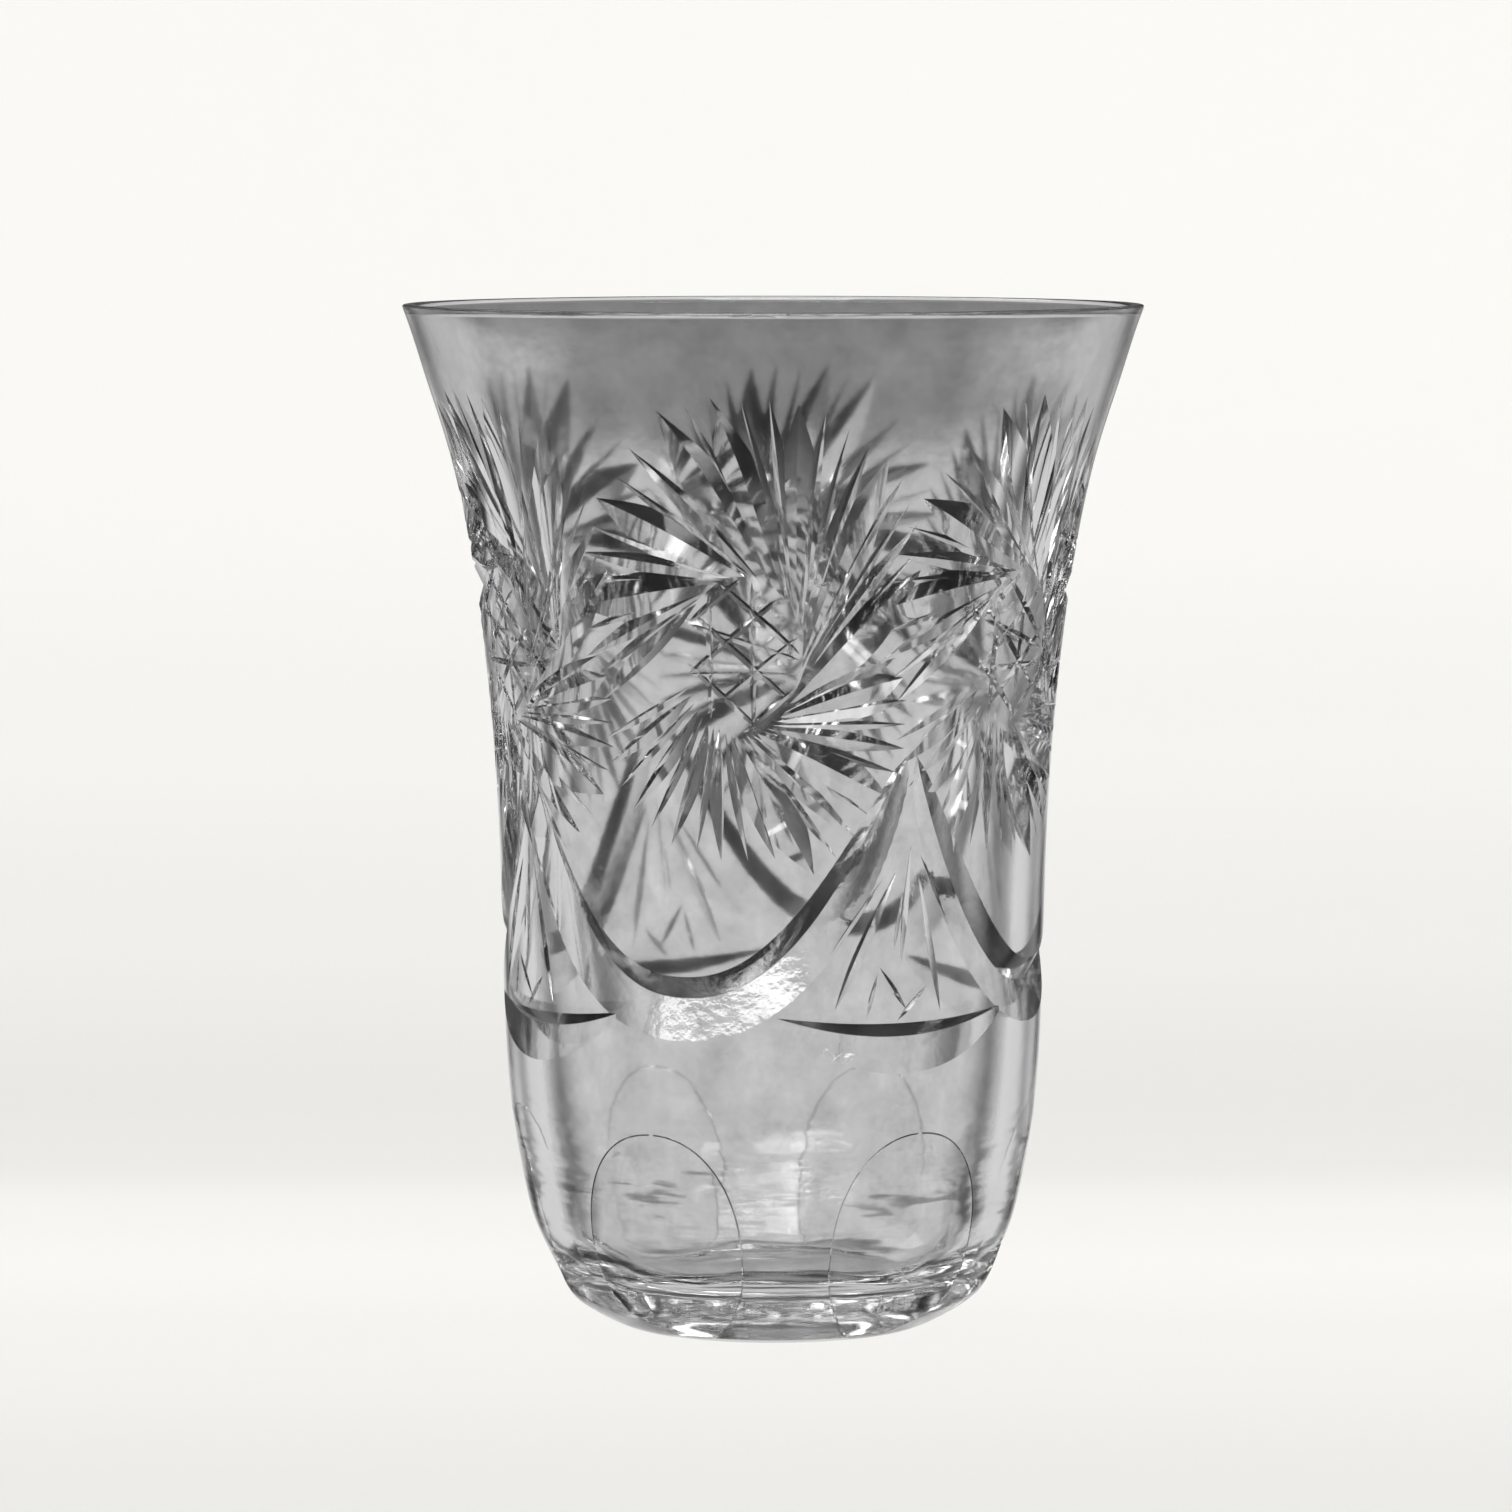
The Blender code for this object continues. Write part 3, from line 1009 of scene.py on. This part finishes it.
@dataclass(frozen=True)
class Pinwheels:
    """Swirling blades round oval hubs with a hatched ground.

    Attributes:
        count: how many.
        first: angle of the first hub's middle.
        height: height of the hubs' middles.
        hub: half the width and half the height of a hub, in mm.
        fans: the blades round a hub.
        blade_depth, fine_depth: depths of every other blade.
        leaf_depth: depth of a broad leaf.
        leaf_runs: mm to the upper and lower side of a leaf for each mm of its depth.
        hatch_depth, hatch_run: the same two for a line of the hatching.
        hatch: for each direction in degrees, how far in mm its lines pass from the middle.
        blade_stations, line_stations: points along a blade and along a line.
    """

    count: int = 6
    first: float = -6.0
    height: float = 101.5
    hub: tuple[float, float] = (8.4, 11.2)
    fans: tuple[Fan, ...] = (
        Fan((107.0, 25.0), (36.5, 28.5), 3.5, (58.0, -38.0), 15, (0, 2, 5, 9, 14), 1.9, 0.75),
        Fan((-1.0, -72.0), (22.5, 33.0), 1.0, (-46.0, -98.0), 11, (1, 6, 10), 1.3, 1.5),
        Fan((-81.0, -150.0), (29.5, 25.0), 2.0, (-102.0, -156.0), 10, (), 0.5, 1.6),
        Fan((-162.0, -243.0), (23.0, 33.0), -1.0, (138.0, 72.0), 11, (4, 8), 1.5, 1.2),
    )
    blade_depth: float = 1.05
    fine_depth: float = 0.55
    leaf_depth: float = 1.5
    leaf_runs: tuple[float, float] = (2.2, 2.5)
    hatch_depth: float = 0.5
    hatch_run: float = 0.95
    hatch: tuple[tuple[float, tuple[float, ...]], ...] = (
        (90.0, (-1.5, 4.6)),
        (0.0, (-2.7,)),
        (-18.0, (1.9,)),
        (40.0, (-8.4, -3.0, 2.9, 8.4)),
        (-42.0, (-6.2, -0.2, 5.6)),
    )
    blade_stations: int = 23
    line_stations: int = 13

    def place(self, body: Body, middle: float, across: Array, up: Array) -> tuple[Array, Array]:
        """Angles and heights of places given in mm across and up from a hub's middle.

        Args:
            body: the wall, whose radius turns mm into degrees.
            middle: the hub's angle.
            across: mm towards growing angle.
            up: mm upwards.

        Returns:
            Angles in degrees and heights in mm.
        """
        table, radii, _ = body.fine_outer()
        radius = np.interp(self.height + 0.5 * up, table, radii)
        return middle + np.degrees(across / radius), self.height + up

    def middles(self) -> list[float]:
        """Angles of the hubs."""
        return [self.first + 360.0 / self.count * k for k in range(self.count)]

    def blade(self, body: Body, fan: Fan, number: int) -> list[Groove]:
        """One blade of a fan, on every pinwheel.

        Args:
            body: the wall that is cut.
            fan: the blade's fan.
            number: which blade it is.

        Returns:
            The grooves, which don't touch each other.
        """
        s = number / (fan.count - 1)
        tip_at = math.radians(fan.tips[0] + (fan.tips[1] - fan.tips[0]) * s)
        root_at = math.radians(fan.roots[0] + (fan.roots[1] - fan.roots[0]) * s)
        reach = fan.reach[0] + (fan.reach[1] - fan.reach[0]) * s + fan.bulge * math.sin(math.pi * s)
        tip = np.array([math.cos(tip_at), math.sin(tip_at)]) * reach
        root = np.array([math.cos(root_at) * self.hub[0], math.sin(root_at) * self.hub[1]])
        t = np.linspace(0.0, 1.0, self.blade_stations)[:, None]
        line = root + (tip - root) * t
        if number in fan.leaves:
            depths, runs = leaf(len(t), self.leaf_depth, 0.5), self.leaf_runs
        else:
            deep = self.fine_depth if number % 2 else self.blade_depth
            depths, runs = leaf(len(t), deep, 0.45), (fan.upper_run, fan.lower_run)
        if tip[0] < root[0]:
            runs = runs[::-1]
        return [
            Groove(*self.place(body, middle, line[:, 0], line[:, 1]), depths, *runs)
            for middle in self.middles()
        ]

    def line(
        self, body: Body, ends: tuple[float, float, float, float], deep: float
    ) -> list[Groove]:
        """A fine line inside every hub.

        Args:
            body: the wall that is cut.
            ends: mm across and up from the hub's middle, at its start and at its end.
            deep: its depth.

        Returns:
            The grooves, which don't touch each other.
        """
        x0, z0, x1, z1 = ends
        t = np.linspace(0.0, 1.0, self.line_stations)
        across, up = x0 + (x1 - x0) * t, z0 + (z1 - z0) * t
        depths, runs = leaf(len(t), deep, 0.5, 0.35), (self.hatch_run, self.hatch_run)
        return [
            Groove(*self.place(body, middle, across, up), depths, *runs)
            for middle in self.middles()
        ]

    def hub_lines(self, body: Body) -> list[list[Groove]]:
        """Hatching: lines in several directions, clipped to the oval hub.

        A line at offset c and direction d is clipped where it leaves the ellipse of the hub,
        found by solving the quadratic for the distance along it.

        Args:
            body: the wall that is cut.

        Returns:
            One set of grooves for each line.
        """
        sets = []
        wide, tall = self.hub
        for direction, offsets in self.hatch:
            turn = math.radians(direction)
            dx, dz = math.cos(turn), math.sin(turn)
            for number, offset in enumerate(offsets):
                cx, cz = -dz * offset, dx * offset
                a = (dx / wide) ** 2 + (dz / tall) ** 2
                b = cx * dx / wide**2 + cz * dz / tall**2
                c = (cx / wide) ** 2 + (cz / tall) ** 2 - 0.96
                root = math.sqrt(max(b * b - a * c, 0.0))
                near, far = (-b - root) / a, (-b + root) / a
                ends = (cx + dx * near, cz + dz * near, cx + dx * far, cz + dz * far)
                sets.append(self.line(body, ends, self.hatch_depth + 0.03 * number))
        return sets

    def grooves(self, body: Body) -> list[list[Groove]]:
        """All blades and hub lines.

        Args:
            body: the wall that is cut.

        Returns:
            Sets of grooves, each set free of contact within itself.
        """
        sets = [self.blade(body, fan, n) for fan in self.fans for n in range(fan.count)]
        return sets + self.hub_lines(body)


# --------------------------------------------------------------------------- the vase


@dataclass
class Vase:
    """The whole vase: a turned body with its flutes and cuts, in one piece of glass."""

    body: Body = field(default_factory=Body)
    flutes: Flutes = field(default_factory=Flutes)
    swags: Swags = field(default_factory=Swags)
    crescents: Crescents = field(default_factory=Crescents)
    sprays: Sprays = field(default_factory=Sprays)
    pinwheels: Pinwheels = field(default_factory=Pinwheels)
    sharp_angle: float = 9.0
    finishes: dict[Surface, LeadCrystal] = field(
        default_factory=lambda: {
            Surface.OUTSIDE: LeadCrystal("lead_crystal_fire_polished", 0.0, 16.0, 0.05, 1.0),
            Surface.INSIDE: LeadCrystal(
                "lead_crystal_blown_inside",
                roughness=0.08,
                wave_mm=14.0,
                wave_height_mm=0.05,
                stretch=1.6,
                grain_mm=2.6,
                grain_height_mm=0.01,
                ripple_height_mm=0.22,
                cloudy_tint="#D6D6D6",
            ),
            Surface.RIM: LeadCrystal("lead_crystal_fire_polished_rim", 0.0, 9.0, 0.02),
            Surface.FACET: LeadCrystal("lead_crystal_wheel_cut", 0.0, 5.0, 0.01, 1.0),
            Surface.BOW: LeadCrystal("lead_crystal_mitre_cut", 0.0, 6.0, 0.02, 1.0, 1.6, 0.03),
            Surface.FLUTE: LeadCrystal("lead_crystal_ground_flute", 0.0, 9.0, 0.03, 1.0),
        }
    )

    def cutter_sets(self) -> dict[str, tuple[Surface, list[tuple[Array, list]]]]:
        """Closed shells to cut with, by name; the shells of one name don't touch each other."""
        joints = self.swags.joints()
        sets = {"flutes": (Surface.FLUTE, self.flutes.shells(self.body))}
        families = {
            "flute_outlines": self.flutes.outlines(),
            "swags": self.swags.grooves(),
            "crescents": self.crescents.grooves(joints),
            "sprays": self.sprays.grooves(joints),
            "pinwheels": self.pinwheels.grooves(self.body),
        }
        for name, family in families.items():
            for number, grooves in enumerate(family):
                shells = [groove.shell(self.body) for groove in grooves]
                surface = Surface.BOW if name in ("swags", "crescents") else Surface.FACET
                sets[f"{name}_{number}"] = (surface, shells)
        return sets

    def cut(self, blank: bpy.types.Object) -> bpy.types.Mesh:
        """Grind all the cuts out of the turned body.

        Args:
            blank: the uncut body.

        Returns:
            The mesh of what is left.
        """
        scene = bpy.context.scene.collection
        wheels = bpy.data.collections.new("wheels")
        scene.children.link(wheels)
        for name, (surface, shells) in self.cutter_sets().items():
            starts = np.cumsum([0] + [len(points) for points, _ in shells])
            points = np.concatenate([points for points, _ in shells])
            faces = [
                [corner + int(start) for corner in face]
                for start, (_, shell) in zip(starts, shells)
                for face in shell
            ]
            mesh = new_mesh(name, points, faces, np.full(len(faces), surface.value))
            for material in blank.data.materials:
                mesh.materials.append(material)
            wheels.objects.link(bpy.data.objects.new(name, mesh))
        boolean = blank.modifiers.new("cuts", "BOOLEAN")
        boolean.operation = "DIFFERENCE"
        boolean.solver = "MANIFOLD"
        boolean.operand_type = "COLLECTION"
        boolean.collection = wheels
        graph = bpy.context.evaluated_depsgraph_get()
        done = bpy.data.meshes.new_from_object(blank.evaluated_get(graph), depsgraph=graph)
        for cutter in list(wheels.objects):
            old = cutter.data
            bpy.data.objects.remove(cutter)
            bpy.data.meshes.remove(old)
        bpy.data.collections.remove(wheels)
        return done

    def true_normals(self, mesh: bpy.types.Mesh) -> None:
        """Give the turned walls the normals of the true curve, so that they refract cleanly.

        Faces of cuts and flutes keep normals worked out from their own faces, split where
        they meet at more than a few degrees.

        Args:
            mesh: the cut mesh, which is changed.
        """
        surfaces = np.empty(len(mesh.polygons), np.int32)
        mesh.polygons.foreach_get("material_index", surfaces)
        mesh.polygons.foreach_set("use_smooth", surfaces != Surface.FACET.value)
        mesh.set_sharp_from_angle(angle=math.radians(self.sharp_angle))
        points = np.empty(len(mesh.vertices) * 3, np.float32)
        mesh.vertices.foreach_get("co", points)
        corners = np.empty(len(mesh.loops), np.int32)
        mesh.loops.foreach_get("vertex_index", corners)
        sizes = np.empty(len(mesh.polygons), np.int32)
        mesh.polygons.foreach_get("loop_total", sizes)
        places = points.reshape(-1, 3).astype(np.float64)[corners] / MM
        surface_of = np.repeat(surfaces, sizes)
        normals = np.zeros((len(corners), 3))
        for surface in (Surface.OUTSIDE, Surface.INSIDE, Surface.RIM):
            here = surface_of == surface.value
            normals[here] = self.body.normals_on(places[here], surface)
        here = surface_of == Surface.FLUTE.value
        normals[here] = self.flutes.normals_on(self.body, places[here])
        foot = (surface_of == Surface.OUTSIDE.value) & (places[:, 2] < 0.01)
        normals[foot] = (0.0, 0.0, -1.0)
        mesh.normals_split_custom_set(normals.tolist())

    def build(self) -> bpy.types.Object:
        """Make the finished vase.

        Returns:
            The vase's object, at the origin.
        """
        mesh = self.body.mesh()
        for surface in Surface:
            mesh.materials.append(self.finishes[surface].material())
        blank = bpy.data.objects.new("crystal_vase", mesh)
        bpy.context.scene.collection.objects.link(blank)
        done = self.cut(blank)
        blank.modifiers.clear()
        blank.data = done
        bpy.data.meshes.remove(mesh)
        self.true_normals(done)
        LOG.info("crystal_vase: %d faces", len(done.polygons))
        return blank


# --------------------------------------------------------------------------- the studio


Span = tuple[float, float]
Place = tuple[float, float, float]


@dataclass(frozen=True)
class Window:
    """A bright opening in the studio, which shows as a highlight in the glass.

    Attributes:
        spans: lowest and highest X, Y and Z of the directions in which it is seen.
        strength: how bright it is.
    """

    spans: tuple[Span, Span, Span]
    strength: float


@dataclass(frozen=True)
class SoftBox:
    """A square soft lamp.

    Attributes:
        name: the lamp's name.
        place: where it hangs, in metres.
        aim: what it points at.
        size: its side.
        watts: its power.
    """

    name: str
    place: Place
    aim: Place
    size: float
    watts: float


@dataclass(frozen=True)
class Studio:
    """Pale paper sweep, soft light and the camera.

    Attributes:
        paper: the sweep's finish.
        backdrop_white: what the camera sees past the sweep.
        distance, eye_height, aim_height, aside, lens: the camera's place, its aim and its
            focal length, in metres and mm.
        tones: greys seen through the glass, by height from 0 straight down to 1 straight up.
        panels: how many pale panels stand round the vase.
        panel_edges: degrees from a panel's middle at which it starts and ends fading.
        between_panels: brightness halfway between two panels.
        horizon_bend: how much higher the tones sit for each squared radian off a panel.
        front_fade: the Y directions over which the room behind the camera gets darker.
        front_share: how bright that room is.
        windows: the bright openings.
        window_edge: width of their soft edges.
        soft_boxes: the lamps.
        lamp_colour: their linear colour, a trace warm.
        bounces: how many times a path may turn: in all, through glass, and off gloss.
    """

    paper: PalePaper = field(default_factory=PalePaper)
    backdrop_white: str = "#FBFAF7"
    distance: float = 1.0
    eye_height: float = 0.173
    aim_height: float = 0.0836
    aside: float = -0.0025
    lens: float = 162.5
    tones: tuple[tuple[float, str], ...] = (
        (0.0, "#909090"),
        (0.08, "#848484"),
        (0.13, "#404040"),
        (0.17, "#484848"),
        (0.215, "#CECECE"),
        (0.36, "#D8D8D8"),
        (0.4570, "#DADADA"),
        (0.4630, "#929292"),
        (0.480, "#909090"),
        (0.526, "#303030"),
        (0.60, "#1E1E1E"),
        (0.80, "#2C2C2C"),
        (0.90, "#484848"),
    )
    panels: int = 8
    panel_edges: Span = (10.0, 22.0)
    between_panels: float = 0.16
    horizon_bend: float = 0.30
    front_fade: Span = (-0.25, -0.05)
    front_share: float = 0.6
    windows: tuple[Window, ...] = (
        Window(((-0.35, 0.3), (-1.0, -0.3), (0.72, 0.86)), 6.0),
        Window(((-0.63, 0.04), (-1.0, -0.3), (0.255, 0.262)), 9.0),
        Window(((-0.68, -0.17), (-1.0, -0.3), (0.275, 0.29)), 9.0),
        Window(((-0.34, 0.68), (-1.0, -0.3), (0.29, 0.302)), 9.0),
        Window(((-0.5, 0.1), (0.25, 1.0), (0.62, 0.80)), 2.5),
        Window(((0.35, 0.6), (-0.2, 0.6), (0.30, 0.62)), 1.6),
    )
    window_edge: float = 0.02
    soft_boxes: tuple[SoftBox, ...] = (
        SoftBox("top_light", (0.0, -0.3, 2.2), (0.0, 0.1, 0.0), 2.0, 3.0),
        SoftBox("front_light", (-1.4, -2.2, 1.6), (0.0, 0.6, 0.3), 1.6, 2.5),
        SoftBox("back_light", (1.5, 0.0, 2.0), (0.0, 2.6, 0.8), 1.6, 4.0),
    )
    lamp_colour: Place = (1.0, 0.995, 0.99)
    bounces: tuple[int, int, int] = (40, 36, 16)

    def sweep(self) -> bpy.types.Object:
        """Floor that curves up into the backdrop: a flat run, a quarter circle and a wall.

        Returns:
            The sweep's object.
        """
        radius, back, half = 1.2, 1.6, 6.0
        turn = np.linspace(0.0, np.pi / 2, 33)
        y = np.concatenate([[-4.0, -1.0], back + radius * np.sin(turn), [back + radius]])
        z = np.concatenate([[0.0, 0.0], radius * (1 - np.cos(turn)), [5.0]])
        line = np.stack([np.zeros_like(y), y, z], axis=1)
        points = np.concatenate([line + [-half, 0, 0], line + [half, 0, 0]]) / MM
        low = np.arange(len(y) - 1)
        faces = np.stack([low, low + len(y), low + len(y) + 1, low + 1], axis=1).tolist()
        sweep = bpy.data.objects.new("paper_sweep", new_mesh("paper_sweep", points, faces))
        sweep.data.materials.append(self.paper.material())
        sweep.data.shade_smooth()
        bpy.context.scene.collection.objects.link(sweep)
        sweep.visible_transmission = False
        sweep.visible_glossy = False
        return sweep

    def soft_light(self, box: SoftBox) -> None:
        """Hang a soft box, which the glass doesn't show.

        Args:
            box: its place, aim, size and power.
        """
        lamp = bpy.data.lights.new(box.name, "AREA")
        lamp.shape, lamp.size, lamp.energy = "SQUARE", box.size, box.watts
        lamp.color = self.lamp_colour
        made = bpy.data.objects.new(box.name, lamp)
        made.location = box.place
        made.rotation_euler = self.facing(box.place, box.aim)
        made.visible_glossy = made.visible_transmission = False
        bpy.context.scene.collection.objects.link(made)

    @staticmethod
    def facing(place: Place, aim: Place) -> Place:
        """Rotation that turns an object's -Z from one place towards another."""
        dx, dy, dz = (b - a for a, b in zip(place, aim))
        return (math.atan2(math.hypot(dx, dy), -dz), 0.0, math.atan2(-dx, dy))

    def world(self) -> None:
        """Grey studio seen through the glass, white seen straight.

        Rays from the camera see the backdrop's white. All others see a dark wall above a
        lighter table. Pale panels stand all round, with darker gaps between them, and that is
        what draws the cuts from every side.
        """
        world = bpy.data.worlds.new("studio")
        world.use_nodes = True
        bpy.context.scene.world = world
        tree = world.node_tree
        look = add_node(tree, "ShaderNodeTexCoord").outputs["Generated"]
        x, y, z = add_node(tree, "ShaderNodeSeparateXYZ", inputs={0: look}).outputs
        turn = add_node(tree, "ShaderNodeMath", {"operation": "ARCTAN2"}, {0: x, 1: y}).outputs[0]
        folds = {0: turn, 1: math.pi / self.panels}
        fold = add_node(tree, "ShaderNodeMath", {"operation": "PINGPONG"}, folds).outputs[0]
        squared = {0: fold, 1: fold}
        aside = add_node(tree, "ShaderNodeMath", {"operation": "MULTIPLY"}, squared).outputs[0]
        bent = {0: aside, 1: self.horizon_bend, 2: z}
        height = add_node(tree, "ShaderNodeMath", {"operation": "MULTIPLY_ADD"}, bent).outputs[0]
        place = {"Value": height, "From Min": -1.0, "From Max": 1.0}
        lift = add_node(tree, "ShaderNodeMapRange", inputs=place)
        ramp = add_node(tree, "ShaderNodeValToRGB", inputs={"Fac": lift.outputs["Result"]})
        fill_ramp(ramp, self.tones)
        start, end = (math.radians(edge) for edge in self.panel_edges)
        panel = {"Value": fold, "From Min": start, "From Max": end, "To Min": 1.0}
        panel["To Max"] = self.between_panels
        smooth = {"interpolation_type": "SMOOTHSTEP"}
        shade = add_node(tree, "ShaderNodeMapRange", smooth, panel).outputs["Result"]
        start, end = self.front_fade
        room = {"Value": y, "From Min": start, "From Max": end, "To Min": self.front_share}
        front = add_node(tree, "ShaderNodeMapRange", inputs=room).outputs["Result"]
        around = ramp.outputs["Color"]
        darken = {"data_type": "RGBA", "blend_type": "MULTIPLY"}
        for share in (shade, front):
            parts = {0: 1.0, 6: around, 7: share}
            around = add_node(tree, "ShaderNodeMix", darken, parts).outputs[2]
        brighten = {"data_type": "RGBA", "blend_type": "ADD"}
        for window in self.windows:
            parts = {0: 1.0, 6: around, 7: self.opening(tree, (x, y, z), window)}
            around = add_node(tree, "ShaderNodeMix", brighten, parts).outputs[2]
        rays = add_node(tree, "ShaderNodeLightPath").outputs
        kinds = {0: rays["Is Glossy Ray"], 1: rays["Is Transmission Ray"]}
        glass = add_node(tree, "ShaderNodeMath", {"operation": "MAXIMUM"}, kinds).outputs[0]
        views = {0: glass, 6: linear(self.backdrop_white), 7: around}
        seen = add_node(tree, "ShaderNodeMix", {"data_type": "RGBA"}, views).outputs[2]
        tree.links.new(seen, tree.nodes["Background"].inputs["Color"])

    def opening(
        self, tree: bpy.types.NodeTree, look: Sequence[bpy.types.NodeSocket], window: Window
    ) -> bpy.types.NodeSocket:
        """Light of one window.

        It is the product of one bump for each component of the direction: one inside the
        component's span, and falling to zero over the soft edge.

        Args:
            tree: the world's nodes.
            look: the direction's three components.
            window: the window.

        Returns:
            The light: the window's strength inside its spans, and zero away from them.
        """
        product = None
        for component, (low, high) in zip(look, window.spans):
            shift = {0: component, 1: (low + high) / 2}
            off = add_node(tree, "ShaderNodeMath", {"operation": "SUBTRACT"}, shift).outputs[0]
            away = add_node(tree, "ShaderNodeMath", {"operation": "ABSOLUTE"}, {0: off}).outputs[0]
            half = (high - low) / 2
            fall = {"From Min": half, "From Max": half + self.window_edge, "To Min": 1.0}
            fall.update({"Value": away, "To Max": 0.0})
            smooth = {"interpolation_type": "SMOOTHSTEP"}
            bump = add_node(tree, "ShaderNodeMapRange", smooth, fall).outputs["Result"]
            both = {0: window.strength if product is None else product, 1: bump}
            product = add_node(tree, "ShaderNodeMath", {"operation": "MULTIPLY"}, both).outputs[0]
        return product

    def camera(self) -> None:
        """Level portrait lens, a little above the rim and looking slightly down."""
        lens = bpy.data.cameras.new("camera")
        lens.sensor_width, lens.lens = 36.0, self.lens
        lens.clip_start, lens.clip_end = 0.05, 50.0
        made = bpy.data.objects.new("camera", lens)
        made.location = (self.aside, -self.distance, self.eye_height)
        made.rotation_euler = self.facing(made.location, (self.aside, 0.0, self.aim_height))
        bpy.context.scene.collection.objects.link(made)
        bpy.context.scene.camera = made

    def build(self) -> None:
        """Set up the whole studio and how light is followed through the glass."""
        self.sweep()
        for box in self.soft_boxes:
            self.soft_light(box)
        self.world()
        self.camera()
        scene = bpy.context.scene
        scene.view_settings.view_transform = "Standard"
        cycles = scene.cycles
        cycles.max_bounces, cycles.transmission_bounces, cycles.glossy_bounces = self.bounces
        cycles.transparent_max_bounces = self.bounces[2]
        cycles.caustics_reflective = False
        cycles.caustics_refractive = False
        LOG.info("studio ready")


def main() -> None:
    """Load the frame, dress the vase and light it."""
    logging.basicConfig(level=logging.INFO, format="%(message)s")
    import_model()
    Studio().build()
    vase = Vase().build()
    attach(vase, "root")
    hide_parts("vase_body")
    vase.visible_shadow = vase.visible_diffuse = False


if __name__ == "__main__":
    main()
